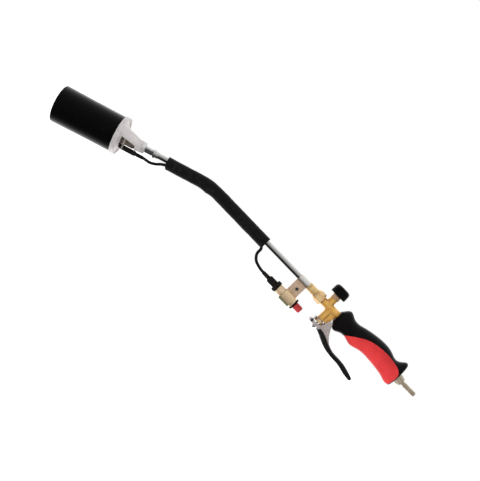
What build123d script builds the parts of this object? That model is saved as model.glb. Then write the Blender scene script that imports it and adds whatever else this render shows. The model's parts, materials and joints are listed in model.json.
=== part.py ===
from build123d import *
import os
from math import cos, pi, radians, sin, sqrt, tan

# Propane roofing torch. +X runs forward from the hose tail to the burner, +Z is up (the flow knob's
# side, with the trigger lever below) and +Y is left. The origin is the rear tip of the hose tail.
# All sizes are in millimetres.

# ---- Neck: a straight tube with one bend; everything forward of the bend is built on its own axis
TUBE_R = 5.2
TUBE_WALL = 1.0
TUBE_START = 238.0
BEND_X = 485.0
BEND_DEG = 18.2
BEND_R = 115.0
NECK_DATUM = 3.4
NECK = Location((BEND_X, 0, 0), (0, BEND_DEG, 0)) * Pos(NECK_DATUM, 0, 0)

# ---- Burner, measured along the bent part of the neck from a datum just past the bend's corner
TUBE_END = 100.0
COUPLING = (92.0, 97.2, 101.2)
HUB_FACE = 131.0
HUB_REAR = 122.0
RING = (158.5, 164.0, 167.2)
SKIRT_END = 177.0
BELL = (167.2, 276.4)
BELL_R = 31.3
BELL_FLARE = 0.9
BELL_WALL = 1.2
RING_R = 33.0
THREAD_R = 6.0
NOZZLE_R = 10.4
NOZZLE_HEAD_R = 11.8
ELECTRODE_DROP = 15.5
BOOT_R = 4.3
CERAMIC_R = 2.4
WIRE_R = 0.8

# ---- Igniter, hung under the neck
IGNITER_Z = -38.8
BARREL_R = 8.3
BUTTON_R = 6.1
LEAD_R = 2.5
LEAD_DROP = 7.9
SLEEVE_R = 10.8
SLEEVE_WALL = 1.0
SLEEVE_DROP = (3.1, 4.2)
SLEEVE_START = 349.0
SLEEVE_END = 75.0
BRACKET = (250.5, 271.0)
LINER = 2.0
RIVET = (259.5, -18.0)
RIVET_R = 1.6

# ---- Valve: the rear arm holds the supply tube, the front arm the union nut
SPINDLE_X = 204.8
TRIGGER_X = 196.8
VALVE = (175.0, 224.0)
ARM_R = 6.6
GAS_R = 2.5
PIPE_THREAD_R = 4.5
SPINDLE_R = 2.0
SPINDLE_THREAD_R = 3.0
PACKING_R = 4.0
GLAND_THREAD_R = 5.0
UNION_THREAD_R = 8.0
FORK_Z = -25.0
PLATE = 1.5
STEM_R = 1.5
FIT = 0.05

# ---- Lever
PIVOT = (207.0, -35.3)
LEVER_HALF = 10.0
LEVER_SHEET = 1.5
COVER_WALL = 1.7

# ---- Grip stations: x, top z, bottom z and half width
GRIP = [
    (41.6, 25.8, -19.2, 12.6),
    (46.0, 28.2, -20.4, 13.8),
    (50.5, 25.2, -20.6, 14.4),
    (55.0, 21.4, -19.6, 14.8),
    (61.0, 19.0, -17.8, 15.2),
    (75.0, 22.2, -15.4, 15.8),
    (97.0, 24.8, -13.8, 16.2),
    (118.0, 22.2, -15.2, 15.6),
    (135.0, 18.4, -19.3, 14.6),
    (147.0, 15.4, -16.6, 13.8),
    (158.0, 16.8, -16.9, 13.4),
    (168.0, 21.0, -21.6, 13.9),
    (175.0, 17.6, -19.4, 13.2),
    (181.2, 11.0, -12.0, 11.0),
]
SEAM = [
    (43.4, 1), (51, 9.6), (63, 13), (82, 14.6), (100, 13), (118, 8.4), (134, -0.8), (145, -9), (153, -17)
]
GRIP_BORE_R = 6.0
INLAY_DEPTH = 3.2

# Side lines of the trigger lever and of its cover, as (x, z) points for a smooth curve
LEVER_FLOOR = [
    (190, -38.7), (180, -42.4), (168, -47.8), (155, -52),
    (140, -53.8), (122, -54.7), (107, -58.1), (97, -59.2),
]
LEVER_EDGE = [
    (97, -54.2), (108, -50.6), (122, -47.9), (137, -47.5),
    (149, -46.1), (160, -41.5), (169, -32.5), (176, -20.5),
]
LEVER_THROAT = [(184, -15), (186.6, -22), (188.4, -28.5), (193.5, -33), (200, -33.2), (207, -32.1)]
COVER_EDGE = [
    (186, -35.3), (174, -37.9), (162, -43.0), (150, -47.5),
    (136, -49), (122, -49.3), (108, -52), (96, -54.8),
]


def closed(curves):
    """One closed wire from curves that follow each other."""
    return Wire([edge for curve in curves for edge in curve.edges()])


def cyl_x(radius, x0, x1, y=0.0, z=0.0):
    return Pos((x0 + x1) / 2, y, z) * Rot(0, 90, 0) * Cylinder(radius, x1 - x0)


def cyl_y(radius, y0, y1, x, z):
    return Pos(x, (y0 + y1) / 2, z) * Rot(90, 0, 0) * Cylinder(radius, y1 - y0)


def cyl_z(radius, z0, z1, x=0.0, y=0.0):
    return Pos(x, y, (z0 + z1) / 2) * Cylinder(radius, z1 - z0)


def lathe_x(points):
    """Solid of revolution about X from (x, radius) points."""
    return revolve(Plane.XZ * make_face(Polyline(*points, close=True)), Axis.X)


def lathe_z(points, x):
    """Solid of revolution about a vertical line at x, from (radius, z) points."""
    return Pos(x, 0, 0) * revolve(Plane.XZ * make_face(Polyline(*points, close=True)), Axis.Z)


def prism_y(outline, half):
    """Extrude an (x, z) outline by the same amount to both sides of the centre plane."""
    return Pos(0, half, 0) * extrude(Plane.XZ * make_face(outline), 2 * half)


def polygon_y(points, half):
    return prism_y(Polyline(*points, close=True), half)


def hex_x(flats, x0, x1, turn=0.0):
    hexagon = RegularPolygon(flats / sqrt(3), 6, rotation=turn)
    return Pos(x0, 0, 0) * Rot(0, 90, 0) * extrude(hexagon, x1 - x0)


def hex_z(flats, z0, z1, x, turn=0.0):
    hexagon = RegularPolygon(flats / sqrt(3), 6, rotation=turn)
    return Pos(x, 0, z0) * extrude(hexagon, z1 - z0)


def tube_along(path, radius, bore=0.0):
    profile = Circle(radius) - Circle(bore) if bore else Circle(radius)
    return sweep(Plane(origin=path @ 0, z_dir=path % 0) * profile, path=path)


def on_neck(s, drop=0.0):
    """Point at distance s along the bent neck, dropped square to it."""
    a = radians(BEND_DEG)
    along = NECK_DATUM + s
    return Vector(BEND_X + along * cos(a) - drop * sin(a), 0, -along * sin(a) - drop * cos(a))


def bend_corner(drop, front_drop):
    """Where two lines beside the neck meet, each at its own distance below the tube's axis."""
    a = radians(BEND_DEG)
    return Vector(BEND_X - (front_drop / cos(a) - drop) / tan(a), 0, -drop)


def neck_path(x0, s1, drop, front_drop):
    """Path beside the neck tube, bent with it."""
    ends = (x0, 0, -drop), on_neck(s1, front_drop)
    return FilletPolyline(ends[0], bend_corner(drop, front_drop), ends[1], radius=BEND_R - drop)


# ---------------------------------------------------------------- hose tail, supply tube and grip
def hose_tail():
    """Barbed hose connector with a hexagon and a thread into the supply tube."""
    crest, root, barbs, step = 4.2, 3.65, 4, 6.2
    outline = [(0, 2.0), (0, 3.5)]
    for i in range(barbs):
        start = 1.6 + i * step
        outline += [(start, crest), (start + 2.4, crest), (start + 2.6, root)]
    outline += [(27, root), (29.5, 7.2), (37, 9.0), (41, 9.2), (41, PIPE_THREAD_R)]
    outline += [(49.5, PIPE_THREAD_R), (49.5, 2.0)]
    turned = lathe_x(outline)
    return turned & (hex_x(15.0, 26.9, 41) + cyl_x(crest + 0.4, 0, 50))


def supply_tube():
    """Gas tube through the grip, threaded at both ends."""
    outer = 6.0
    outline = [(41.2, PIPE_THREAD_R), (41.2, outer), (VALVE[0], outer), (VALVE[0], PIPE_THREAD_R)]
    outline += [(187, PIPE_THREAD_R), (187, GAS_R), (50, GAS_R), (50, PIPE_THREAD_R)]
    return lathe_x(outline)


def grip_loft(shrink=0.0):
    """Oval body through the grip stations, taken in by an even amount."""
    sections = []
    for x, top, bottom, half in GRIP:
        plane = Plane(origin=(x, 0, (top + bottom) / 2), x_dir=(0, 1, 0), z_dir=(1, 0, 0))
        sections.append(plane * Ellipse(half - shrink, (top - bottom) / 2 - shrink))
    return loft(sections)


def inlay_region():
    """Belly of the grip, below a curved seam that meets the underside at the finger bump."""
    (rear_x, rear_z), (front_x, front_z) = SEAM[0], SEAM[-1]
    below = Polyline((front_x, front_z), (front_x, -30), (rear_x, -30), (rear_x, rear_z))
    return prism_y(closed([Spline(*SEAM), below]), 25)


def grip_inlay():
    """Soft insert round the belly of the grip, a hair below the hard shell's surface."""
    return (grip_loft(0.25) & inlay_region()) - grip_loft(INLAY_DEPTH)


def grip_body():
    """Hard grip moulding with the pocket for the insert and the bore for the supply tube."""
    outer = grip_loft()
    outer = fillet(outer.faces().sort_by(Axis.X)[0].edges(), 2.5)
    outer = fillet(outer.faces().sort_by(Axis.X)[-1].edges(), 1.2)
    pocket = (grip_loft(-1.0) & inlay_region()) - grip_loft(INLAY_DEPTH)
    body = outer - pocket
    body -= cyl_x(GRIP_BORE_R, 30, 176)
    return body - cyl_x(8.3, 174.8, 185)


# ---------------------------------------------------------------- valve
def valve_body():
    """Forged valve body: rear arm, knob arm above, trigger arm below and outlet arm in front."""
    rear, front = VALVE
    arms = cyl_x(ARM_R, rear + 4, 216)
    arms += cyl_z(ARM_R + 0.15, 0, 15, SPINDLE_X)
    arms += cyl_z(ARM_R - 0.1, FORK_Z, 0, TRIGGER_X)
    joins = [edge for edge in arms.edges() if edge.geom_type == GeomType.BSPLINE]
    body = fillet(joins, 2.4)
    flange = [(rear, 0), (rear, 7.4), (rear + 1, 8), (rear + 5, 8), (rear + 6.5, ARM_R), (rear + 6.5, 0)]
    body += lathe_x(flange)
    web = [(182.4, -4), (182.4, -15), (187.0, -23.6), (193, -23.6), (193, -4)]
    body += prism_y(FilletPolyline(*web, radius=2, close=True), 4.4)
    body += cyl_x(6.0, 216, 217.5)
    body += cyl_x(UNION_THREAD_R, 217.5, front)
    for passage in valve_passages():
        body -= passage
    return body


def valve_passages():
    """Gas ways and threads: in from the rear, up past the trigger's seat, round the needle and out."""
    return [
        cyl_x(PIPE_THREAD_R, VALVE[0] - 1, 187),
        cyl_x(1.8, 186, TRIGGER_X),
        cyl_z(4.0, FORK_Z - 1, 4.5, TRIGGER_X),
        cyl_z(GLAND_THREAD_R, FORK_Z - 1, -17.2, TRIGGER_X),
        cyl_x(1.1, TRIGGER_X, SPINDLE_X, z=-4.9),
        cyl_z(1.0, -5.0, 0, SPINDLE_X),
        cyl_z(3.2, -2.8, 8.5, SPINDLE_X),
        cyl_z(GLAND_THREAD_R, 8.0, 16, SPINDLE_X),
        cyl_x(GAS_R, SPINDLE_X, VALVE[1] + 1),
    ]


def tube_nipple():
    """Sleeve brazed on the neck tube, with the collar that the union nut pulls up."""
    outline = [(224, GAS_R), (224, 7.8), (226.5, 7.8), (226.5, 6.9), (246.3, 6.9), (247.2, 6.3)]
    outline += [(248.1, 7.1), (249.8, 7.1), (249.8, TUBE_R), (TUBE_START, TUBE_R), (TUBE_START, GAS_R)]
    return lathe_x(outline)


def union_nut():
    """Domed hexagon nut that joins the neck to the valve."""
    dome = lathe_x([(217, 0), (217, 9.3), (218.2, 10.5), (226, 10.5), (229.5, 9.9), (233, 7.9), (233, 0)])
    nut = dome & hex_x(19.0, 217, 233)
    nut -= cyl_x(UNION_THREAD_R, 216, 226.5)
    return nut - cyl_x(7.0, 226, 234)


def spindle_gland_nut():
    """Nut on the knob arm that guides the spindle and holds its packing."""
    head = lathe_z([(0, 15), (7.9, 15), (7.9, 20.4), (6.8, 21.8), (0, 21.8)], SPINDLE_X)
    nut = hex_z(14.2, 15, 21.8, SPINDLE_X, 30) & head
    nut += cyl_z(GLAND_THREAD_R, 8.0, 15.2, SPINDLE_X)
    nut -= cyl_z(SPINDLE_THREAD_R + FIT, 7, 15, SPINDLE_X)
    nut -= cyl_z(PACKING_R, 16, 19, SPINDLE_X)
    return nut - cyl_z(SPINDLE_R + FIT, 14, 23, SPINDLE_X)


def spindle_packing():
    return cyl_z(PACKING_R, 16, 19, SPINDLE_X) - cyl_z(SPINDLE_R + FIT, 15, 20, SPINDLE_X)


def flow_spindle():
    """Needle spindle: cone tip, thread and stem, with a tapped top for the knob screw."""
    stem, thread = SPINDLE_R, SPINDLE_THREAD_R
    outline = [(0, -3.6), (0.4, -3.6), (stem, -0.8), (stem, 5), (thread, 5.4), (thread, 12), (stem, 12.4)]
    outline += [(stem, 35), (0, 35)]
    return lathe_z(outline, SPINDLE_X) - cyl_z(1.25, 27, 36, SPINDLE_X)


def flow_knob():
    """Fluted knob with a hollow underside."""
    flutes, flute_ring = 16, 15.0
    outline = [(SPINDLE_R + FIT, 26), (8.6, 26), (8.6, 22.4), (13.6, 22.4), (14.6, 23.6), (14.2, 33.6)]
    outline += [(13.2, 36.6), (10.8, 38.4), (4.2, 38.4), (4.2, 36.6), (SPINDLE_R + FIT, 36.6)]
    knob = lathe_z(outline, SPINDLE_X)
    for i in range(flutes):
        turn = 2 * pi * i / flutes
        knob -= cyl_z(1.5, 22, 39, SPINDLE_X + flute_ring * cos(turn), flute_ring * sin(turn))
    return knob


def knob_screw():
    """Cross-slotted screw that holds the knob on the spindle."""
    screw = cyl_z(3.6, 36.6, 38.0, SPINDLE_X) + cyl_z(1.2, 28, 37, SPINDLE_X)
    slot = Box(5.0, 0.9, 1.4) + Box(0.9, 5.0, 1.4)
    return screw - Pos(SPINDLE_X, 0, 38.0) * slot


def valve_seat():
    return cyl_z(4.0, -3.8, -1.8, TRIGGER_X) - cyl_z(2.0, -4, -1, TRIGGER_X)


def valve_disc():
    """Sealing disc screwed on the top of the plunger."""
    return lathe_z([(1.0, -1.7), (3.2, -1.7), (3.2, -0.6), (2.6, 0), (1.0, 0)], TRIGGER_X)


def trigger_plunger():
    """Stem that the lever pushes up, with the collar that its spring bears on."""
    outline = [(0, -35), (0.8, -35), (STEM_R, -34.2), (STEM_R, -13.4), (3.4, -13.4), (3.4, -12.4)]
    outline += [(STEM_R, -12.4), (STEM_R, -1.7), (1.0, -1.7), (1.0, 0.6), (0, 0.6)]
    return lathe_z(outline, TRIGGER_X)


def trigger_spring():
    """Coil spring between the valve seat and the plunger's collar."""
    wire_r, coil_r, foot = 0.42, 2.75, -11.95
    coil = Helix(pitch=1.9, height=7.6, radius=coil_r)
    return Pos(TRIGGER_X, 0, foot) * tube_along(coil, wire_r)


def plunger_seal():
    return cyl_z(3.0, -29.4, -27.1, TRIGGER_X) - cyl_z(STEM_R + FIT, -30, -27, TRIGGER_X)


def trigger_gland():
    """Gland nut that closes the trigger arm, guides the plunger and clamps the hinge plate."""
    top = FORK_Z - PLATE
    foot = -31.2
    head = lathe_z([(0, top), (7.5, top), (7.5, foot + 1), (6.5, foot), (0, foot)], TRIGGER_X)
    gland = hex_z(13.4, foot, top, TRIGGER_X) & head
    gland += cyl_z(GLAND_THREAD_R, top, -17.5, TRIGGER_X)
    gland -= cyl_z(3.0, -29.5, -27, TRIGGER_X)
    return gland - cyl_z(STEM_R + FIT, foot - 1, -17, TRIGGER_X)


# ---------------------------------------------------------------- lever
def hinge_plate():
    """Steel plate under the valve, bent down in front of the gland and curled round the pin."""
    x, z = PIVOT
    half = 6.0
    front = x - 0.6
    plate = cyl_z(7.0, FORK_Z - PLATE, FORK_Z, TRIGGER_X)
    plate += Pos((TRIGGER_X + front) / 2, 0, FORK_Z - PLATE / 2) * Box(front - TRIGGER_X, 2 * half, PLATE)
    plate += Pos(front - PLATE / 2, 0, (FORK_Z + z) / 2) * Box(PLATE, 2 * half, FORK_Z - z)
    plate += cyl_y(2.7, -half, half, x, z)
    plate -= cyl_y(STEM_R + FIT, -half - 1, half + 1, x, z)
    return plate - cyl_z(GLAND_THREAD_R, FORK_Z - PLATE - 1, FORK_Z + 1, TRIGGER_X)


def lever_pin():
    """Headed pivot pin, fast in the lever's cheeks."""
    x, z = PIVOT
    head = 1.1
    pin = cyl_y(STEM_R, -LEVER_HALF - head, LEVER_HALF + head, x, z)
    for side in (-1, 1):
        middle = side * (LEVER_HALF + head / 2)
        pin += cyl_y(2.4, middle - head / 2, middle + head / 2, x, z)
    return pin


def lever_tip():
    return ThreePointArc(LEVER_FLOOR[-1], (94.8, -56.6), LEVER_EDGE[0])


def lever_outline():
    x, z = PIVOT
    nose = 3.2
    curves = [
        Spline(*LEVER_THROAT),
        ThreePointArc((x, z + nose), (x + nose, z), (x, z - nose)),
        Polyline((x, z - nose), (203.2, -38.7), LEVER_FLOOR[0]),
        Spline(*LEVER_FLOOR),
        lever_tip(),
        Spline(*LEVER_EDGE),
        ThreePointArc(LEVER_EDGE[-1], (179.4, -15.6), LEVER_THROAT[0]),
    ]
    return closed(curves)


def lever_channel():
    """Space between the cheeks, above the lever's floor."""
    floor = [(x, z + LEVER_SHEET) for x, z in LEVER_FLOOR]
    back, front, beyond, above, below = floor[-1][0] - 0.7, 203.2, 215, 5, -50
    corners = [floor[-1], (back, floor[-1][1] + 2), (back, above), (beyond, above)]
    corners += [(beyond, below), (front, below), (front, floor[0][1]), floor[0]]
    return prism_y(closed([Spline(*floor), Polyline(*corners)]), LEVER_HALF - LEVER_SHEET)


def trigger_lever():
    """Pressed steel channel: two cheeks beside the valve and a floor under the plunger."""
    x, z = PIVOT
    lever = prism_y(lever_outline(), LEVER_HALF) - lever_channel()
    lever -= cyl_y(STEM_R, -11, 11, x, z)
    return lever - cyl_z(STEM_R, -45, -33, TRIGGER_X)


def lever_cover():
    """Plastic grip pushed over the lever's rear part from below."""
    low = [(x, z - COVER_WALL) for x, z in LEVER_FLOOR]
    tip = ThreePointArc(COVER_EDGE[-1], (92.9, -57.8), low[-1])
    front = Line(low[0], COVER_EDGE[0])
    cover = prism_y(closed([Spline(*COVER_EDGE), tip, Spline(*low), front]), LEVER_HALF + COVER_WALL)
    rest = Polyline(LEVER_EDGE[0], (97, -20), (190, -20), LEVER_FLOOR[0])
    return cover - prism_y(closed([Spline(*LEVER_FLOOR), lever_tip(), rest]), LEVER_HALF)


def pilot_screw():
    """Screw in the lever's floor that sets how far the plunger stands open."""
    foot = -43.2
    outline = [(0, foot), (1.2, foot), (STEM_R, foot + 0.3), (STEM_R, -36.4)]
    outline += [(1.1, -35.7), (0.5, -35.3), (0, -35.3)]
    return lathe_z(outline, TRIGGER_X) - Pos(TRIGGER_X, 0, foot) * Box(4, 0.7, 1.6)


def pilot_locknut():
    return hex_z(5.5, -41.1, -38.7, TRIGGER_X) - cyl_z(STEM_R, -42, -38, TRIGGER_X)


# ---------------------------------------------------------------- igniter
def igniter_bracket():
    """Sheet strap round the neck tube and the igniter, closed by a rivet."""
    x0, x1 = BRACKET
    sheet = 1.1
    upper, lower = TUBE_R + sheet, BARREL_R + LINER + sheet
    strap = cyl_x(upper, x0, x1) + cyl_x(lower, x0, x1, z=IGNITER_Z)
    strap += Pos((x0 + x1) / 2, 0, IGNITER_Z / 2) * Box(x1 - x0, 3.0, -IGNITER_Z)
    strap -= Pos((x0 + x1) / 2, 0, IGNITER_Z / 2) * Box(x1 - x0 + 2, 0.8, -IGNITER_Z)
    strap -= cyl_x(TUBE_R, x0 - 1, x1 + 1)
    strap -= cyl_x(BARREL_R + LINER, x0 - 1, x1 + 1, z=IGNITER_Z)
    return strap - cyl_y(RIVET_R, -5, 5, *RIVET)


def bracket_liner():
    x0, x1 = BRACKET
    outer = cyl_x(BARREL_R + LINER, x0, x1, z=IGNITER_Z)
    return outer - cyl_x(BARREL_R, x0 - 1, x1 + 1, z=IGNITER_Z)


def bracket_rivet():
    rivet = cyl_y(RIVET_R, -2.4, 2.4, *RIVET)
    rivet += cyl_y(RIVET_R + 1, 1.5, 2.5, *RIVET)
    return rivet + cyl_y(RIVET_R + 1, -2.5, -1.5, *RIVET)


def at_igniter(part):
    return Pos(0, 0, IGNITER_Z) * part


def igniter_barrel():
    return at_igniter(cyl_x(BARREL_R, 246.5, 286) - cyl_x(BARREL_R - 1, 246, 287))


def igniter_collar():
    """Collar pressed on the rear of the barrel, guiding the button."""
    bore, inside = BUTTON_R + FIT, BARREL_R - 1
    outline = [(243.5, 9.4), (244.2, 10.0), (246.5, 10.0), (246.5, inside)]
    outline += [(248.5, inside), (248.5, bore), (243.5, bore)]
    return at_igniter(lathe_x(outline))


def igniter_button():
    """Push button with a flange that stops it leaving the collar."""
    outline = [(229.5, 0), (229.5, 4.4), (230.1, 5.4), (231.3, BUTTON_R), (248.9, BUTTON_R), (248.9, 7.0)]
    outline += [(251, 7.0), (251, 0)]
    return at_igniter(lathe_x(outline))


def piezo_unit():
    """Piezo striker: a stepped cylinder that the button drives, with a contact cap to the lead."""
    outline = [(257.6, 0), (257.6, 4.5), (260, 4.5), (260, 6.7), (284, 6.7), (284, 3), (286, 3), (286, 0)]
    return at_igniter(lathe_x(outline))


def igniter_boot():
    """Rubber cap over the front of the barrel, tapering to a strain relief round the lead."""
    cap = BARREL_R
    outline = [(282.5, cap), (282.5, 9.3), (283.4, 9.9), (288, 9.9), (289.4, 9.0), (289.4, 6.2), (303, 6.2)]
    outline += [(304, 5.4), (304, 4.2), (318, 3.2), (318, LEAD_R), (286, LEAD_R), (286, cap)]
    boot = lathe_x(outline)
    for i in range(4):
        x = 306.5 + 3.2 * i
        boot -= cyl_x(6, x, x + 1.1) - cyl_x(3.1, x - 1, x + 2)
    return at_igniter(boot)


def lead_route():
    """Igniter lead: out of the boot, up into the sleeve, along the neck and down to the electrode."""
    rear = [(287, IGNITER_Z), (325, IGNITER_Z), (340, -34.4), (347.9, -25), (347.6, -13.8), (354, -8.6)]
    corner = bend_corner(LEAD_DROP, LEAD_DROP)
    front = [(77, 8.2), (91, 15.2), (100.5, 17.2), (109.5, ELECTRODE_DROP), (133, ELECTRODE_DROP)]
    points = [Vector(x, 0, z) for x, z in rear]
    points += [Vector(366, 0, -LEAD_DROP), corner]
    points += [on_neck(s, drop) for s, drop in front]
    radii = []
    for a, b, c in zip(points, points[1:], points[2:]):
        shorter = min((b - a).length, (c - b).length)
        radius = 0.45 * shorter / tan(radians((b - a).get_angle(c - b) / 2))
        radii.append(min(radius, BEND_R - LEAD_DROP) if b == corner else radius)
    return FilletPolyline(*points, radius=radii), radii


def igniter_lead():
    path, radii = lead_route()
    lead = tube_along(path, LEAD_R)
    print("lead radii", [round(r, 1) for r in radii], "length", round(path.length, 1))
    print("lead volume", round(lead.volume, 1), "section x length", round(pi * LEAD_R**2 * path.length, 1))
    return lead


# ---------------------------------------------------------------- neck and burner
def neck_tube():
    return tube_along(neck_path(TUBE_START, TUBE_END, 0.0, 0.0), TUBE_R, TUBE_R - TUBE_WALL)


def neck_sleeve():
    """Loose insulating sleeve over the tube and the lead."""
    rear_drop, front_drop = SLEEVE_DROP
    path = neck_path(SLEEVE_START, SLEEVE_END, rear_drop, front_drop)
    sleeve = tube_along(path, SLEEVE_R, SLEEVE_R - SLEEVE_WALL)
    sleeve -= Pos(SLEEVE_START, 0, -rear_drop - SLEEVE_R) * Box(10, 6, 6)
    return sleeve - NECK * Pos(SLEEVE_END, 0, -front_drop - SLEEVE_R) * Rot(0, 38, 0) * Box(9, 30, 9)


def neck_coupling():
    """Fitting brazed on the tube's end: socket, collar and the long thread that carries the burner."""
    start, collar, thread = COUPLING
    outline = [(start, TUBE_R), (start, 5.9), (start + 0.6, 6.2), (collar, 6.2), (collar, 7.4)]
    outline += [(collar + 0.6, 7.9), (thread - 1.0, 7.9), (thread, 7.0), (thread, 5.4), (thread + 1.2, 5.4)]
    outline += [(thread + 1.8, THREAD_R), (HUB_FACE, THREAD_R)]
    outline += [(HUB_FACE, PIPE_THREAD_R), (123, PIPE_THREAD_R), (123, GAS_R)]
    outline += [(TUBE_END, GAS_R), (TUBE_END, TUBE_R)]
    return NECK * lathe_x(outline)


def hub_nut():
    """Lock nut behind the burner hub."""
    outline = [(115.5, THREAD_R), (115.5, 9.6), (116.4, 10.6), (121.1, 10.6), (122, 9.8), (122, THREAD_R)]
    return NECK * (lathe_x(outline) & hex_x(19.2, 115, 123, 30))


def burner_spider():
    """Cast hub, two wide legs and the ring that holds the bell, hollowed behind its rim."""
    back, plate, lip = RING
    floor = back + 2.8
    inner = BELL_R - BELL_WALL
    outline = [(HUB_REAR, THREAD_R), (HUB_REAR, 9.4), (HUB_REAR + 0.6, 10.0), (130, 10.2), (back, 20.8)]
    outline += [(floor, 22.2), (floor, RING_R - 2.6), (back, RING_R - 2.0), (back, RING_R - 0.8)]
    outline += [(back + 0.8, RING_R), (lip, RING_R), (lip, inner), (SKIRT_END, inner)]
    outline += [(SKIRT_END, inner - 1.3), (plate, inner - 1.3), (plate, 19.0), (HUB_FACE, 8.6)]
    outline += [(HUB_FACE, THREAD_R)]
    spider = lathe_x(outline)
    spider -= polygon_y([(132.5, -4.6), (157, -0.4), (157, -35), (132.5, -35)], 35)
    window = make_face(Polyline((134, 2.6), (156.5, 7.6), (156.5, -7.6), (134, -2.6), close=True))
    spider -= Pos(0, 0, 4) * extrude(window, 30)
    return NECK * (spider - cyl_x(4.0, 150, 166, z=-ELECTRODE_DROP))


def burner_nozzle():
    """Mixing nozzle screwed into the coupling, with side air holes and a wider mouth."""
    ports = 6
    outline = [(123.5, 3.0), (123.5, PIPE_THREAD_R), (HUB_FACE, PIPE_THREAD_R), (HUB_FACE, 8.2)]
    outline += [(137, NOZZLE_R), (154, NOZZLE_R), (157.5, NOZZLE_HEAD_R), (167.2, NOZZLE_HEAD_R)]
    outline += [(168, NOZZLE_HEAD_R - 0.8), (168, 9.4), (158, 9.4), (150, 6.6), (136, 6.6), (136, 3.0)]
    nozzle = lathe_x(outline)
    for i in range(ports):
        turn = 360 * (i + 0.5) / ports
        nozzle -= Pos(141.5, 0, 0) * Rot(turn, 0, 0) * Pos(0, 0, 8.5) * Cylinder(1.7, 7)
    return NECK * nozzle


def gas_jet():
    """Jet with its fine bore, screwed into the nozzle's root."""
    return NECK * lathe_x([(126, 0.5), (126, 3.0), (134, 3.0), (137, 1.4), (138.5, 1.4), (138.5, 0.5)])


def flame_holder():
    """Perforated cup that steadies the flame inside the bell."""
    rim = BELL_R - BELL_WALL
    cup = lathe_x([(178, rim - 1), (178, rim), (185.2, rim), (185.2, 10.5), (184, 10.5), (184, rim - 1)])
    for count, ring, hole in ((12, 14.5, 1.5), (18, 19.5, 1.9), (24, 24.5, 1.7)):
        for i in range(count):
            turn = 2 * pi * (i + 0.5) / count
            cup -= cyl_x(hole, 183, 187, y=ring * sin(turn), z=ring * cos(turn))
    cup -= cyl_x(3.4, 183, 187, z=-ELECTRODE_DROP)
    return NECK * cup


def burner_bell():
    """Flame tube, open at the front, with a rounded lip."""
    back, mouth = BELL
    inner = BELL_R - BELL_WALL
    flare = mouth - 80
    outer, edge = BELL_R + BELL_FLARE, inner + BELL_FLARE
    outline = [(back, inner), (back, BELL_R), (flare, BELL_R), (mouth - 1.0, outer)]
    outline += [(mouth - 0.3, outer - 0.2), (mouth, outer - 0.6)]
    outline += [(mouth - 0.3, edge + 0.1), (mouth - 0.8, edge), (flare, inner)]
    return NECK * lathe_x(outline)


def beside_neck(part):
    """Place a part on the electrode's own line under the burner axis."""
    return NECK * Pos(0, 0, -ELECTRODE_DROP) * part


def lead_sleeve():
    return beside_neck(cyl_x(3.1, 113.6, 127.3) - cyl_x(LEAD_R + 0.1, 113, 128))


def electrode_boot():
    """Rubber boot joining the lead to the electrode."""
    outline = [(127.3, LEAD_R), (127.3, 3.6), (128.2, BOOT_R), (153, BOOT_R), (155, 3.4)]
    outline += [(164.5, 3.4), (165, 3.0), (165, CERAMIC_R)]
    outline += [(133.5, CERAMIC_R), (133.5, LEAD_R)]
    return beside_neck(lathe_x(outline))


def electrode_clip():
    """Bent strip that ties the boot to the nozzle."""
    clip = cyl_x(NOZZLE_R + 0.9, 150.4, 152)
    clip += cyl_x(BOOT_R + 0.9, 150.4, 152, z=-ELECTRODE_DROP)
    clip -= cyl_x(NOZZLE_R, 150, 153)
    return NECK * (clip - cyl_x(BOOT_R, 150, 153, z=-ELECTRODE_DROP))


def electrode_ceramic():
    return beside_neck(cyl_x(CERAMIC_R, 138, 190) - cyl_x(WIRE_R, 137, 191))


def electrode_wire():
    """High-voltage wire through the ceramic, bent towards the burner axis at its tip."""
    drop = ELECTRODE_DROP
    path = FilletPolyline((133.5, 0, -drop), (194, 0, -drop), (199, 0, -drop + 4.2), radius=2.5)
    return NECK * tube_along(path, WIRE_R)


PARTS = {
    "hose_tail": hose_tail,
    "supply_tube": supply_tube,
    "grip_body": grip_body,
    "grip_inlay": grip_inlay,
    "valve_body": valve_body,
    "tube_nipple": tube_nipple,
    "union_nut": union_nut,
    "spindle_gland_nut": spindle_gland_nut,
    "spindle_packing": spindle_packing,
    "flow_spindle": flow_spindle,
    "flow_knob": flow_knob,
    "knob_screw": knob_screw,
    "valve_seat": valve_seat,
    "valve_disc": valve_disc,
    "trigger_plunger": trigger_plunger,
    "trigger_spring": trigger_spring,
    "plunger_seal": plunger_seal,
    "trigger_gland": trigger_gland,
    "hinge_plate": hinge_plate,
    "lever_pin": lever_pin,
    "trigger_lever": trigger_lever,
    "lever_cover": lever_cover,
    "pilot_screw": pilot_screw,
    "pilot_locknut": pilot_locknut,
    "igniter_bracket": igniter_bracket,
    "bracket_liner": bracket_liner,
    "bracket_rivet": bracket_rivet,
    "igniter_barrel": igniter_barrel,
    "igniter_collar": igniter_collar,
    "igniter_button": igniter_button,
    "piezo_unit": piezo_unit,
    "igniter_boot": igniter_boot,
    "igniter_lead": igniter_lead,
    "neck_tube": neck_tube,
    "neck_sleeve": neck_sleeve,
    "neck_coupling": neck_coupling,
    "hub_nut": hub_nut,
    "burner_spider": burner_spider,
    "burner_nozzle": burner_nozzle,
    "gas_jet": gas_jet,
    "flame_holder": flame_holder,
    "burner_bell": burner_bell,
    "lead_sleeve": lead_sleeve,
    "electrode_boot": electrode_boot,
    "electrode_clip": electrode_clip,
    "electrode_ceramic": electrode_ceramic,
    "electrode_wire": electrode_wire,
}

os.makedirs("parts", exist_ok=True)
for name, build in PARTS.items():
    export_step(build(), f"parts/{name}.step")
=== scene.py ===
import json
import math

import bmesh
import bpy
from mathutils import Matrix, Vector, noise


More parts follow.
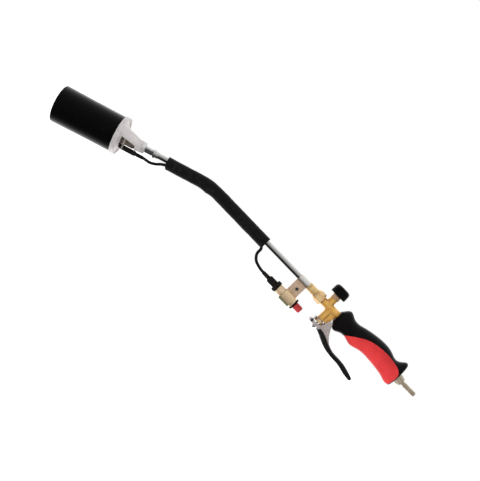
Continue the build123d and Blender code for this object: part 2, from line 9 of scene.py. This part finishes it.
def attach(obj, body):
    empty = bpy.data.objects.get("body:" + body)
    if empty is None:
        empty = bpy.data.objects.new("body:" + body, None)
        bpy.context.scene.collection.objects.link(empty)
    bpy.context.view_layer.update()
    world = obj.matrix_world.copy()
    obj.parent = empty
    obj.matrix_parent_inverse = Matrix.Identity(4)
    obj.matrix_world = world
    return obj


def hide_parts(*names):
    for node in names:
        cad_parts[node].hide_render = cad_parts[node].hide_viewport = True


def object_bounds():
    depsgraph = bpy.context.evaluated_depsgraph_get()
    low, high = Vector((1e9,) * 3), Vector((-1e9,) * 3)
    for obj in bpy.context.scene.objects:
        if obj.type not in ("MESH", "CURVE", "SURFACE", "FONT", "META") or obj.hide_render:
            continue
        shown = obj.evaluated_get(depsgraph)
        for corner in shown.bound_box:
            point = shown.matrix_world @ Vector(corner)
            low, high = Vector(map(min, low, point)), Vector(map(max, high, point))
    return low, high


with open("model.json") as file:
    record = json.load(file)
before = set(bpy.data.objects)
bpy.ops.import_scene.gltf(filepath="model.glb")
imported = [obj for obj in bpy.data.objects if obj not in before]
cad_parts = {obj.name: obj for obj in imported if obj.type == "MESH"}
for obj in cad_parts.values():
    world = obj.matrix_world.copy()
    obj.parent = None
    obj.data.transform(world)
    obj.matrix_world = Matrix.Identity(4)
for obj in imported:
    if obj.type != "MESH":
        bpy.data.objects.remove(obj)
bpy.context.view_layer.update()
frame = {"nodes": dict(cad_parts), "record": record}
nodes = frame["nodes"]
scene = bpy.context.scene
MM = 0.001

# The neck bends once, in the XZ plane: the place of its corner, how far it turns down, its radius,
# and the datum past the corner from which places on the bent part are measured
BEND_X = 485.0
BEND = math.radians(18.2)
BEND_R = 115.0
NECK_DATUM = 3.4


# ---------------------------------------------------------------- camera, light and floor
CAMERA_TARGET = Vector((0.382, 0.0, -0.03))
CAMERA_DISTANCE = 1.28
CAMERA_RIGHT = Vector((-0.6935, 0.0, 0.7204)).normalized()
CAMERA_BACK = Vector((0.0, 1.0, 0.0))
CAMERA_FIELD = math.radians(34.4)
FLOOR_DROP = 0.012


def make_camera():
    """Camera on the torch's left side, rolled so that the burner points up to the left."""
    up = CAMERA_BACK.cross(CAMERA_RIGHT).normalized()
    data = bpy.data.cameras.new("camera")
    data.sensor_width = 36.0
    data.lens = data.sensor_width / 2 / math.tan(CAMERA_FIELD / 2)
    data.clip_start, data.clip_end = 0.01, 100.0
    camera = bpy.data.objects.new("camera", data)
    turn = Matrix((CAMERA_RIGHT, up, CAMERA_BACK)).transposed().to_4x4()
    camera.matrix_world = Matrix.Translation(CAMERA_TARGET + CAMERA_BACK * CAMERA_DISTANCE) @ turn
    scene.collection.objects.link(camera)
    scene.camera = camera


# Light round the torch's long axis: (angle from the viewer's side in degrees, up is positive, and level)
STUDIO = (
    (-180, 1.5), (-150, 1.4), (-125, 1.1), (-105, 0.45), (-85, 0.10), (-60, 0.08), (-40, 0.13), (-20, 0.24),
    (0, 0.34), (20, 0.44), (40, 0.58), (65, 0.70), (95, 0.80), (122, 1.0), (150, 1.4), (180, 1.5),
)


def make_world():
    """White seen directly; as light, soft bands that lie along the torch and dim towards its ends."""
    world = bpy.data.worlds.new("studio")
    world.use_nodes = True
    scene.world = world
    tree = world.node_tree
    tree.nodes.clear()
    link = tree.links.new
    coords = tree.nodes.new("ShaderNodeTexCoord")
    split = tree.nodes.new("ShaderNodeSeparateXYZ")
    link(coords.outputs["Generated"], split.inputs[0])
    angle = tree.nodes.new("ShaderNodeMath")
    angle.operation = "ARCTAN2"
    link(split.outputs["Z"], angle.inputs[0])
    link(split.outputs["Y"], angle.inputs[1])
    turn = tree.nodes.new("ShaderNodeMapRange")
    turn.inputs["From Min"].default_value = -math.pi
    turn.inputs["From Max"].default_value = math.pi
    link(angle.outputs[0], turn.inputs["Value"])
    ramp = tree.nodes.new("ShaderNodeValToRGB")
    ramp.color_ramp.interpolation = "EASE"
    elements = ramp.color_ramp.elements
    for index, (degrees, level) in enumerate(STUDIO):
        place = (degrees + 180) / 360
        element = elements[index] if index < 2 else elements.new(place)
        element.position = place
        element.color = (level, level, level, 1.0)
    link(turn.outputs["Result"], ramp.inputs[0])
    ends = tree.nodes.new("ShaderNodeMath")
    ends.operation = "ABSOLUTE"
    link(split.outputs["X"], ends.inputs[0])
    fall = tree.nodes.new("ShaderNodeMapRange")
    fall.interpolation_type = "SMOOTHSTEP"
    for name, value in (("From Min", 0.45), ("From Max", 0.9), ("To Min", 1.0), ("To Max", 0.3)):
        fall.inputs[name].default_value = value
    link(ends.outputs[0], fall.inputs["Value"])
    path = tree.nodes.new("ShaderNodeLightPath")
    seen = tree.nodes.new("ShaderNodeMix")
    seen.data_type = "RGBA"
    seen.inputs["B"].default_value = (1.0, 1.0, 1.0, 1.0)
    link(path.outputs["Is Camera Ray"], seen.inputs["Factor"])
    link(ramp.outputs["Color"], seen.inputs["A"])
    background = tree.nodes.new("ShaderNodeBackground")
    strength = tree.nodes.new("ShaderNodeMath")
    strength.operation = "MAXIMUM"
    link(fall.outputs["Result"], strength.inputs[0])
    link(path.outputs["Is Camera Ray"], strength.inputs[1])
    link(strength.outputs[0], background.inputs["Strength"])
    link(seen.outputs["Result"], background.inputs["Color"])
    output = tree.nodes.new("ShaderNodeOutputWorld")
    link(background.outputs[0], output.inputs["Surface"])


def make_light(name, place, target, size, power):
    """Rectangular light aimed at a point; it shows in no polished surface."""
    data = bpy.data.lights.new(name, "AREA")
    data.shape = "RECTANGLE"
    data.size, data.size_y = size
    data.energy = power
    light = bpy.data.objects.new(name, data)
    aim = (Vector(target) - Vector(place)).to_track_quat("-Z", "Y")
    light.matrix_world = Matrix.Translation(Vector(place)) @ aim.to_matrix().to_4x4()
    light.visible_glossy = False
    scene.collection.objects.link(light)


def make_lights():
    """A soft key from above the viewer, and a fill on each side."""
    middle = (0.38, 0.0, -0.03)
    make_light("key", (0.2, 1.3, 1.4), middle, (1.6, 1.0), 5.0)
    make_light("front_fill", (0.5, 2.2, 0.1), middle, (2.0, 1.4), 6.5)
    make_light("rear_fill", (0.4, -2.0, 0.6), middle, (2.0, 1.4), 7.0)


def make_floor():
    """Pale floor a little below the lowest point, lit past white so that it joins the background."""
    low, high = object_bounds()
    mesh = bpy.data.meshes.new("floor")
    reach = 14.0
    z = low[2] - FLOOR_DROP
    corners = [(-reach, -reach, z), (reach, -reach, z), (reach, reach, z), (-reach, reach, z)]
    mesh.from_pydata(corners, [], [(0, 1, 2, 3)])
    floor = bpy.data.objects.new("floor", mesh)
    scene.collection.objects.link(floor)
    material = bpy.data.materials.new("floor_white")
    material.use_nodes = True
    shader = material.node_tree.nodes["Principled BSDF"]
    shader.inputs["Base Color"].default_value = (0.9, 0.9, 0.9, 1.0)
    shader.inputs["Roughness"].default_value = 0.9
    shader.inputs["Specular IOR Level"].default_value = 0.0
    shader.inputs["Emission Color"].default_value = (1.0, 1.0, 1.0, 1.0)
    shader.inputs["Emission Strength"].default_value = 0.75
    mesh.materials.append(material)
    floor.visible_glossy = False


# ---------------------------------------------------------------- material builder
class Finish:
    """One node material whose patterns lie in the part's own frame, in millimetres.

    turn says how far the pattern's X axis is tilted down: the burner's own axis is the bent neck's."""

    def __init__(self, name, turn=0.0):
        self.name = name
        self.material = bpy.data.materials.new(name)
        self.material.use_nodes = True
        self.tree = self.material.node_tree
        self.shader = self.tree.nodes["Principled BSDF"]
        coords = self.add("ShaderNodeTexCoord")
        frame_mm = self.add("ShaderNodeMapping")
        frame_mm.inputs["Scale"].default_value = (1 / MM, 1 / MM, 1 / MM)
        self.link(coords.outputs["Object"], frame_mm.inputs["Vector"])
        tilt = self.add("ShaderNodeMapping")
        tilt.inputs["Rotation"].default_value = (0.0, -turn, 0.0)
        self.link(frame_mm.outputs[0], tilt.inputs["Vector"])
        self.place = tilt.outputs[0]

    def add(self, kind):
        return self.tree.nodes.new(kind)

    def link(self, source, target):
        self.tree.links.new(source, target)

    def feed(self, socket, value):
        """Link an output, or set a plain number or colour."""
        if isinstance(value, bpy.types.NodeSocket):
            self.link(value, socket)
        elif isinstance(value, (tuple, list)) and len(value) == 3 and socket.type == "RGBA":
            socket.default_value = (*value, 1.0)
        else:
            socket.default_value = value

    def set(self, **values):
        for name, value in values.items():
            self.feed(self.shader.inputs[name.replace("_", " ")], value)

    def stretched(self, scale):
        mapping = self.add("ShaderNodeMapping")
        mapping.inputs["Scale"].default_value = scale
        self.link(self.place, mapping.inputs["Vector"])
        return mapping.outputs[0]

    def noise(self, per_mm, detail=3.0, roughness=0.5, stretch=None, distortion=0.0):
        """Cloudy pattern; stretch gives other frequencies along the pattern's X, Y and Z."""
        texture = self.add("ShaderNodeTexNoise")
        texture.inputs["Scale"].default_value = per_mm
        texture.inputs["Detail"].default_value = detail
        texture.inputs["Roughness"].default_value = roughness
        texture.inputs["Distortion"].default_value = distortion
        self.link(self.stretched(stretch) if stretch else self.place, texture.inputs["Vector"])
        return texture.outputs["Fac"]

    def span(self, value, low, high, to_low=0.0, to_high=1.0):
        """Map one range to another, with its ends held."""
        node = self.add("ShaderNodeMapRange")
        self.feed(node.inputs["Value"], value)
        ends = (("From Min", low), ("From Max", high), ("To Min", to_low), ("To Max", to_high))
        for name, number in ends:
            node.inputs[name].default_value = number
        return node.outputs["Result"]

    def math(self, operation, a, b):
        node = self.add("ShaderNodeMath")
        node.operation = operation
        self.feed(node.inputs[0], a)
        self.feed(node.inputs[1], b)
        return node.outputs[0]

    def mix(self, factor, a, b):
        node = self.add("ShaderNodeMix")
        node.data_type = "RGBA"
        self.feed(node.inputs["Factor"], factor)
        self.feed(node.inputs["A"], a)
        self.feed(node.inputs["B"], b)
        return node.outputs["Result"]

    def round_edges(self, radius):
        """Normal of the surface with its edges rounded by that radius in millimetres."""
        node = self.add("ShaderNodeBevel")
        node.samples = 4
        node.inputs["Radius"].default_value = radius * MM
        return node.outputs["Normal"]

    def edge_mask(self, rounded, amount):
        """1 on the edges, where the rounded normal leaves the true one, broken up by noise."""
        geometry = self.add("ShaderNodeNewGeometry")
        dot = self.add("ShaderNodeVectorMath")
        dot.operation = "DOT_PRODUCT"
        self.link(rounded, dot.inputs[0])
        self.link(geometry.outputs["Normal"], dot.inputs[1])
        edge = self.span(dot.outputs["Value"], 0.995, 0.88)
        broken = self.span(self.noise(0.8, 3.0, 0.6), 0.35, 0.6)
        return self.math("MULTIPLY", self.math("MULTIPLY", edge, broken), amount)

    def bump(self, height, depth, normal):
        """Bump of that depth in millimetres on another normal, for a height between 0 and 1."""
        node = self.add("ShaderNodeBump")
        node.inputs["Strength"].default_value = 1.0
        node.inputs["Distance"].default_value = depth * MM
        self.link(height, node.inputs["Height"])
        self.link(normal, node.inputs["Normal"])
        return node.outputs["Normal"]


# ---------------------------------------------------------------- metals
RINGS_X = (5.0, 0.12, 0.12)
RINGS_Z = (0.12, 0.12, 5.0)


def metal(
    name, light, dark, roughness, turn=0.0, rings=None, ring_depth=0.003, blast=0.0, soft=0.25, shine=1.0,
    corner_shade_and_dirt=None
):
    """Metal with clouded tone, an uneven polish, tool rings or a blasted skin, and bright worn edges.

    shine under 1 is a metal dulled by lacquer, plating or tarnish; the corner colour is painted shade and
    dirt, laid in where ambient occlusion finds corners."""
    finish = Finish(name, turn)
    clouds = finish.noise(0.11, 4.0, 0.62)
    grains = finish.noise(1.9, 2.0, 0.5)
    tone = finish.math("ADD", finish.math("MULTIPLY", clouds, 0.93), finish.math("MULTIPLY", grains, 0.07))
    colour = finish.mix(finish.span(tone, 0.36, 0.64), dark, light)
    # Painted shade and dirt in the corners: ambient occlusion darkens the colour towards the corner colour.
    if corner_shade_and_dirt:
        corner = finish.add("ShaderNodeAmbientOcclusion")
        corner.samples = 6
        corner.inputs["Distance"].default_value = 5.0 * MM
        colour = finish.mix(finish.span(corner.outputs["AO"], 0.92, 0.45), colour, corner_shade_and_dirt)
    rounded = finish.round_edges(soft)
    worn = finish.edge_mask(rounded, 0.5)
    bright = tuple(min(1.0, channel * 1.12 + 0.03) for channel in light)
    polish = finish.noise(0.45, 4.0, 0.65)
    normal = rounded
    if rings:
        lines = finish.noise(1.0, 2.0, 0.6, stretch=rings)
        normal = finish.bump(lines, ring_depth, normal)
        polish = finish.math("ADD", finish.math("MULTIPLY", polish, 0.6), finish.math("MULTIPLY", lines, 0.4))
    if blast:
        skin = finish.math("ADD", finish.noise(3.2, 2.0, 0.6), finish.math("MULTIPLY", clouds, 0.8))
        normal = finish.bump(skin, blast, normal)
    rough = finish.span(polish, 0.3, 0.7, roughness * 0.75, roughness * 1.3)
    finish.set(Base_Color=finish.mix(worn, colour, bright), Metallic=shine, Roughness=rough, Normal=normal)
    return finish


def plain_metals():
    """Metal finishes that differ only in tone, polish and tool marks."""
    steel = ((0.70, 0.70, 0.71), (0.54, 0.54, 0.56))
    dull = 0.6
    turned = {"rings": RINGS_X, "shine": dull}
    made = [
        metal("brass_forged", (1.0, 0.61, 0.175), (0.88, 0.425, 0.095), 0.24, blast=0.012, soft=0.6,
              shine=dull, corner_shade_and_dirt=(0.34, 0.15, 0.03)),
        metal("brass_turned", (0.93, 0.68, 0.33), (0.70, 0.43, 0.16), 0.22, corner_shade_and_dirt=(0.24, 0.17, 0.07),
              **turned),
        metal("brass_barrel", (0.98, 0.74, 0.50), (0.80, 0.56, 0.34), 0.24, **turned),
        metal("brass_dull", (0.60, 0.52, 0.41), (0.36, 0.28, 0.19), 0.26, **turned),
        metal("brass_pale", (1.0, 0.72, 0.38), (0.80, 0.50, 0.22), 0.24, **turned),
        metal("brass_copper", (0.84, 0.54, 0.34), (0.60, 0.35, 0.20), 0.3, rings=RINGS_Z, shine=dull),
        metal("steel_tube", *steel, 0.35, rings=RINGS_X),
        metal("steel_turned", *steel, 0.28, rings=RINGS_Z),
        metal("spring_steel", (0.55, 0.55, 0.57), (0.40, 0.40, 0.42), 0.32),
        metal("lever_steel", (0.64, 0.565, 0.54), (0.47, 0.41, 0.395), 0.32, blast=0.008, shine=dull),
        metal("pin_dark", (0.16, 0.16, 0.17), (0.07, 0.07, 0.075), 0.38),
        metal("clip_steel", (0.76, 0.74, 0.70), (0.60, 0.57, 0.52), 0.30, turn=BEND, shine=dull),
        metal("hub_nickel", (0.96, 0.94, 0.93), (0.76, 0.74, 0.74), 0.26, turn=BEND, rings=RINGS_X,
              shine=0.7),
        metal("nozzle_brass", (0.30, 0.24, 0.19), (0.16, 0.12, 0.095), 0.35, turn=BEND, rings=RINGS_X,
              shine=0.7),
    ]
    return {finish.name: finish.material for finish in made}


def paint_shade_below(finish, height, top, bottom, shade_colour):
    """Painted shade that deepens from one height to a lower one."""
    base = finish.shader.inputs["Base Color"]
    unshaded = base.links[0].from_socket
    finish.feed(base, finish.mix(finish.span(height, top, bottom), unshaded, shade_colour))


def neck_chrome():
    """Bright plated tube with painted shade on its underside, straight and bent part alike."""
    plate = ((0.86, 0.85, 0.84), (0.78, 0.77, 0.75))
    finish = metal("neck_chrome", *plate, 0.12, rings=RINGS_X, ring_depth=0.0015)
    split = finish.add("ShaderNodeSeparateXYZ")
    finish.link(finish.place, split.inputs[0])
    past_bend = finish.math("MAXIMUM", finish.math("SUBTRACT", split.outputs["X"], BEND_X), 0.0)
    height = finish.math("ADD", split.outputs["Z"], finish.math("MULTIPLY", past_bend, math.tan(BEND)))
    # Painted shade: the colour darkens to near black on the underside, below the tube's axis line.
    paint_shade_below(finish, height, -0.6, -2.8, (0.045, 0.044, 0.041))
    return finish.material


def coupling_nickel():
    """Plated fitting with painted shade: its own colour on top, painted darker below, and painted darkest
    below on the bare thread.
    """
    finish = metal("coupling_nickel", (0.90, 0.90, 0.89), (0.78, 0.78, 0.78), 0.16, turn=BEND, rings=RINGS_X,
                   shine=0.85)
    split = finish.add("ShaderNodeSeparateXYZ")
    finish.link(finish.place, split.inputs[0])
    height = finish.math("SUBTRACT", split.outputs["Z"], BEND_X * math.sin(BEND))
    # Painted shade: the colour darkens below the fitting's axis.
    paint_shade_below(finish, height, -0.6, -3.4, (0.15, 0.15, 0.15))
    along = finish.math("SUBTRACT", split.outputs["X"], BEND_X * math.cos(BEND) + NECK_DATUM)
    # Painted shade: darker still on the lower side of the bare thread, from 100 mm along the neck.
    thread_underside_shade = finish.math("MULTIPLY", finish.span(along, 100.0, 101.2), finish.span(height, 2.6, 0.6))
    base = finish.shader.inputs["Base Color"]
    finish.feed(base, finish.mix(thread_underside_shade, base.links[0].from_socket, (0.16, 0.16, 0.165)))
    return finish.material


def bracket_nickel():
    """Plated strap: painted highlight on top and painted shade below round the tube, warm between, golden
    round the igniter and painted shade below it.
    """
    finish = metal("bracket_nickel", (0.86, 0.64, 0.47), (0.68, 0.47, 0.33), 0.24, blast=0.006, shine=0.7)
    base = finish.shader.inputs["Base Color"]
    colour = base.links[0].from_socket
    split = finish.add("ShaderNodeSeparateXYZ")
    finish.link(finish.place, split.inputs[0])
    uneven = finish.math("MULTIPLY", finish.noise(0.2, 3.0, 0.6), 3.0)
    height = finish.math("ADD", split.outputs["Z"], uneven)
    # Painted highlight and painted shade round the tube: pale on top, near black underneath.
    under = finish.span(height, 0.8, -3.4)
    tube_wrap_highlight_and_shade = finish.mix(under, (0.86, 0.83, 0.79), (0.16, 0.13, 0.11))
    colour = finish.mix(finish.span(height, -4.6, -3.6), colour, tube_wrap_highlight_and_shade)
    colour = finish.mix(finish.span(height, -24.0, -28.0), colour, (0.88, 0.66, 0.41))
    # Painted shade: the strap's underside below the igniter darkens to olive black.
    colour = finish.mix(finish.span(height, -42.0, -46.0), colour, (0.20, 0.20, 0.115))
    finish.feed(base, colour)
    return finish.material


def spider_cast():
    """Die-cast aluminium: matt pale skin, fine grain, faint flow marks and polished edges."""
    finish = Finish("spider_cast", BEND)
    clouds = finish.noise(0.10, 5.0, 0.65, distortion=0.6)
    grain = finish.noise(2.6, 3.0, 0.65)
    colour = finish.mix(finish.span(clouds, 0.35, 0.65), (0.72, 0.675, 0.67), (0.88, 0.845, 0.84))
    rounded = finish.round_edges(0.7)
    worn = finish.edge_mask(rounded, 0.6)
    skin = finish.bump(grain, 0.045, rounded)
    normal = finish.bump(clouds, 0.12, skin)
    colour = finish.mix(worn, colour, (0.97, 0.96, 0.96))
    rough = finish.span(grain, 0.3, 0.7, 0.42, 0.62)
    finish.set(Base_Color=colour, Metallic=0.6, Roughness=rough, Normal=normal)
    return finish.material


def flame_steel():
    """Pressed steel cup, straw to blue from the heat."""
    finish = Finish("flame_steel", BEND)
    heat = finish.noise(0.07, 4.0, 0.6, distortion=0.8)
    colour = finish.mix(finish.span(heat, 0.38, 0.5), (0.24, 0.25, 0.34), (0.52, 0.38, 0.24))
    colour = finish.mix(finish.span(heat, 0.52, 0.66), colour, (0.56, 0.53, 0.50))
    rounded = finish.round_edges(0.25)
    normal = finish.bump(finish.noise(2.2, 3.0, 0.6), 0.02, rounded)
    rough = finish.span(heat, 0.3, 0.7, 0.5, 0.32)
    finish.set(Base_Color=colour, Metallic=1.0, Roughness=rough, Normal=normal)
    return finish.material


def bell_enamel():
    """Gloss black heat-proof paint: orange peel, fine dust, sparse scuffs and a worn mouth."""
    finish = Finish("bell_enamel", BEND)
    dust = finish.span(finish.noise(0.35, 5.0, 0.7), 0.52, 0.75)
    colour = finish.mix(dust, (0.0012, 0.0012, 0.0014), (0.0050, 0.0048, 0.0045))
    rounded = finish.round_edges(0.5)
    worn = finish.edge_mask(rounded, 0.35)
    colour = finish.mix(worn, colour, (0.10, 0.095, 0.09))
    peel = finish.bump(finish.noise(0.55, 2.0, 0.4), 0.018, rounded)
    scuffs = finish.noise(0.6, 4.0, 0.75, stretch=(0.25, 2.2, 2.2))
    rough = finish.span(scuffs, 0.5, 0.72, 0.2, 0.42)
    finish.set(Base_Color=colour, Roughness=rough, Normal=peel, Specular_IOR_Level=0.6)
    finish.set(Specular_Tint=(0.12, 0.12, 0.12))
    return finish.material


# ---------------------------------------------------------------- plastics, rubber and ceramic
def plastic(name, colour, shade, roughness, spark=0.02, spark_per_mm=2.4):
    """Moulded plastic: spark-eroded skin, cloudy tone, handled patches and paler edges."""
    front, soft, edge = 0.22, 0.3, 0.25
    finish = Finish(name)
    clouds = finish.noise(0.06, 4.0, 0.6)
    tone = finish.mix(finish.span(clouds, 0.36, 0.64), shade, colour)
    rounded = finish.round_edges(soft)
    worn = finish.edge_mask(rounded, edge)
    pale = tuple(channel * 0.8 + 0.06 for channel in colour)
    skin = finish.noise(spark_per_mm, 3.0, 0.6)
    normal = finish.bump(skin, spark, rounded)
    handled = finish.noise(0.12, 3.0, 0.6)
    rough = finish.span(handled, 0.35, 0.65, roughness * 0.82, roughness * 1.2)
    finish.set(Base_Color=finish.mix(worn, tone, pale), Roughness=rough, Normal=normal)
    finish.set(Specular_IOR_Level=0.45, Specular_Tint=(front, front, front))
    return finish


def grip_red():
    """Soft red insert: satin, faintly translucent, with a fine leathery grain."""
    reds = ((0.66, 0.040, 0.043), (0.58, 0.033, 0.036))
    finish = plastic("grip_red", *reds, 0.44, spark=0.03, spark_per_mm=1.7)
    finish.set(Subsurface_Weight=0.06, Subsurface_Scale=0.002, Subsurface_Radius=(1.0, 0.25, 0.2))
    return finish.material


def rubber(name, colour, roughness, grain=0.05, turn=0.0):
    """Matt rubber with a chalky bloom in patches."""
    finish = Finish(name, turn)
    bloom = finish.span(finish.noise(0.16, 5.0, 0.68), 0.5, 0.72)
    dusty = tuple(channel * 1.8 + 0.004 for channel in colour)
    tone = finish.mix(bloom, colour, dusty)
    rounded = finish.round_edges(0.25)
    pores = finish.bump(finish.noise(1.5, 3.0, 0.65), grain, rounded)
    rough = finish.span(bloom, 0.0, 1.0, roughness, min(1.0, roughness + 0.14))
    finish.set(Base_Color=tone, Roughness=rough, Normal=pores, Specular_IOR_Level=0.08)
    finish.set(Sheen_Weight=0.04, Sheen_Roughness=0.5)
    return finish.material


def ceramic_white():
    """Glazed ceramic tube, yellowed near the spark."""
    finish = Finish("ceramic_white", BEND)
    stain = finish.span(finish.noise(0.2, 4.0, 0.6), 0.45, 0.7)
    colour = finish.mix(stain, (0.86, 0.84, 0.79), (0.66, 0.58, 0.46))
    glaze = finish.bump(finish.noise(0.7, 2.0, 0.4), 0.012, finish.round_edges(0.2))
    finish.set(Base_Color=colour, Roughness=finish.span(stain, 0.0, 1.0, 0.12, 0.3), Normal=glaze)
    return finish.material


def make_materials():
    """Finish for every material slot of the record."""
    made = plain_metals()
    made["neck_chrome"] = neck_chrome()
    made["coupling_nickel"] = coupling_nickel()
    made["bracket_nickel"] = bracket_nickel()
    made["spider_cast"] = spider_cast()
    made["flame_steel"] = flame_steel()
    made["bell_enamel"] = bell_enamel()
    made["grip_red"] = grip_red()
    made["ceramic_white"] = ceramic_white()
    others = [
        plastic("grip_black", (0.0045, 0.0034, 0.0036), (0.0025, 0.0020, 0.0021), 0.36),
        plastic("knob_black", (0.0022, 0.0028, 0.0026), (0.0012, 0.0016, 0.0015), 0.40),
        plastic("cover_black", (0.0100, 0.0100, 0.0104), (0.0062, 0.0062, 0.0066), 0.40),
        plastic("button_red", (0.50, 0.055, 0.055), (0.38, 0.035, 0.038), 0.3, spark=0.006),
        plastic("piezo_plastic", (0.50, 0.50, 0.47), (0.42, 0.42, 0.39), 0.5),
    ]
    made.update({finish.name: finish.material for finish in others})
    made["seal_rubber"] = rubber("seal_rubber", (0.009, 0.009, 0.008), 0.62)
    made["boot_rubber"] = rubber("boot_rubber", (0.0085, 0.0066, 0.0062), 0.5, turn=BEND)
    made["lead_black"] = rubber("lead_black", (0.004, 0.004, 0.004), 0.42, grain=0.015)
    made["sleeve_black"] = rubber("sleeve_black", (0.0045, 0.0045, 0.0048), 0.5)
    return made


# Nodes whose own shade of their slot's metal differs from the rest
OWN_SHADE = {"igniter_barrel": "brass_barrel", "hose_tail": "brass_dull"}


def dress_nodes(materials):
    """Give each CAD node the finish of its own material slot."""
    for part in frame["record"]["subparts"]:
        finish = OWN_SHADE.get(part["node"], part["material_slot"])
        for slot in nodes[part["node"]].material_slots:
            slot.material = materials[finish]


# ---------------------------------------------------------------- pieces modelled finer than the CAD
def add_piece(name, mesh, material, body, replaced):
    """Finish a piece: smooth faces, its material, its body and the node that it stands for."""
    for polygon in mesh.polygons:
        polygon.use_smooth = True
    mesh.set_sharp_from_angle(angle=math.radians(38))
    mesh.materials.clear()
    mesh.materials.append(material)
    piece = bpy.data.objects.new(name, mesh)
    scene.collection.objects.link(piece)
    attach(piece, body)
    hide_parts(replaced)


def grid_tube(name, rows, around, point):
    """Closed skin of a pipe: rows of points given by point(row, column), the last row joined to the first."""
    built = bmesh.new()
    grid = [[built.verts.new(point(row, column)) for column in range(around)] for row in range(rows)]
    for row in range(rows):
        here, after = grid[row], grid[(row + 1) % rows]
        for column in range(around):
            beside = (column + 1) % around
            built.faces.new((here[column], here[beside], after[beside], after[column]))
    bmesh.ops.recalc_face_normals(built, faces=built.faces)
    mesh = bpy.data.meshes.new(name)
    built.to_mesh(mesh)
    built.free()
    return mesh


# The sleeve in mm: how far its line hangs below the tube's at each end, its start along X and its end past
# the bend, as in the CAD
SLEEVE = {"radius": 10.8, "wall": 1.0, "rear_drop": 3.1, "front_drop": 4.2, "start": 349.0, "end": 75.0}


def sleeve_centre():
    """Centre line of the sleeve in mm: a function of the distance along it, and its length."""
    rear, front = SLEEVE["rear_drop"], SLEEVE["front_drop"]
    cos, sin = math.cos(BEND), math.sin(BEND)
    corner = Vector((BEND_X - (front / cos - rear) / math.tan(BEND), 0, -rear))
    along = NECK_DATUM + SLEEVE["end"]
    end = Vector((BEND_X + along * cos - front * sin, 0, -along * sin - front * cos))
    radius = BEND_R - rear
    tangent = radius * math.tan(BEND / 2)
    straight = corner.x - tangent - SLEEVE["start"]
    turning = radius * BEND
    length = straight + turning + (end - corner).length - tangent

    def at(distance):
        """Point and how far the line has turned down."""
        if distance <= straight:
            return Vector((SLEEVE["start"] + distance, 0, -rear)), 0.0
        if distance >= straight + turning:
            beyond = distance - straight - turning + tangent
            return corner + Vector((cos, 0, -sin)) * beyond, BEND
        angle = (distance - straight) / radius
        x = corner.x - tangent + radius * math.sin(angle)
        return Vector((x, 0, -rear - radius * (1 - math.cos(angle)))), angle

    return at, length, straight + turning / 2


def sleeve_relief(distance, around, bend_middle):
    """How far the sleeve's skin stands off its plain radius, in mm."""
    low = max(0.0, -math.cos(around))
    reach = abs(distance - bend_middle)
    corner = 1.7 * max(0.0, 1 - reach / 20) ** 1.6 * low**1.5
    folds = 0.0
    if reach < 24:
        wave = math.sin(distance * 1.35 + 1.4 * math.sin(around * 2))
        folds = 0.16 * wave * (1 - reach / 24) * low**2
    place = Vector((distance * 0.055, math.sin(around) * 0.9, math.cos(around) * 0.9))
    slack = 0.34 * noise.fractal(place, 0.9, 2.1, 4)
    fine = 0.07 * noise.noise(Vector((distance * 0.5, math.sin(around) * 5, math.cos(around) * 5)))
    return corner + folds + slack + fine


def make_sleeve(material):
    """Loose sleeve with slack waves, small folds inside the bend, and a cut front end that frays a little."""
    at, length, bend_middle = sleeve_centre()
    steps, around = 168, 84
    wall = SLEEVE["wall"]
    rows = [(i / steps, 0.0) for i in range(steps + 1)]
    rows += [(i / steps, wall) for i in range(steps, -1, -6)]

    def point(row, column):
        part, depth = rows[row]
        turn = 2 * math.pi * column / around
        low = max(0.0, -math.cos(turn))
        ragged = 0.7 * noise.noise(Vector((3.0, math.sin(turn) * 2.5, math.cos(turn) * 2.5)))
        last = length - 0.6 - 3.2 * low**2 + ragged
        distance = part * last
        centre, angle = at(distance)
        lip = 0.35 * math.exp(-((distance / 2.2) ** 2)) + 0.3 * math.exp(-(((last - distance) / 2.5) ** 2))
        radius = SLEEVE["radius"] - depth + lip + sleeve_relief(distance, turn, bend_middle)
        up = Vector((math.sin(angle), 0, math.cos(angle)))
        return (centre + radius * (math.cos(turn) * up + math.sin(turn) * Vector((0, 1, 0)))) * MM

    mesh = grid_tube("neck_sleeve_skin", len(rows), around, point)
    add_piece("neck_sleeve_skin", mesh, material, "torch", "neck_sleeve")


def softened(node, voxel, passes, keep):
    """Copy of a CAD node's mesh with its edges rounded as on a casting, at rest, in metres."""
    source = nodes[node]
    work = bpy.data.objects.new(node + "_work", source.data.copy())
    work.matrix_world = source.matrix_world
    scene.collection.objects.link(work)
    remesh = work.modifiers.new("remesh", "REMESH")
    remesh.mode = "VOXEL"
    remesh.voxel_size = voxel * MM
    smooth = work.modifiers.new("smooth", "SMOOTH")
    smooth.factor, smooth.iterations = 0.5, passes
    thin = work.modifiers.new("thin", "DECIMATE")
    thin.ratio = keep
    bpy.context.view_layer.update()
    evaluated = work.evaluated_get(bpy.context.evaluated_depsgraph_get())
    mesh = bpy.data.meshes.new_from_object(evaluated)
    mesh.transform(work.matrix_world)
    bpy.data.objects.remove(work)
    return mesh


make_camera()
make_world()
make_lights()
make_floor()
scene.view_settings.view_transform = "Standard"
scene.view_settings.look = "None"
materials = make_materials()
dress_nodes(materials)
make_sleeve(materials["sleeve_black"])
forging = softened("valve_body", 0.34, 5, 0.4)
add_piece("valve_forging", forging, materials["brass_forged"], "torch", "valve_body")
casting = softened("burner_spider", 0.5, 6, 0.4)
add_piece("burner_casting", casting, materials["spider_cast"], "torch", "burner_spider")
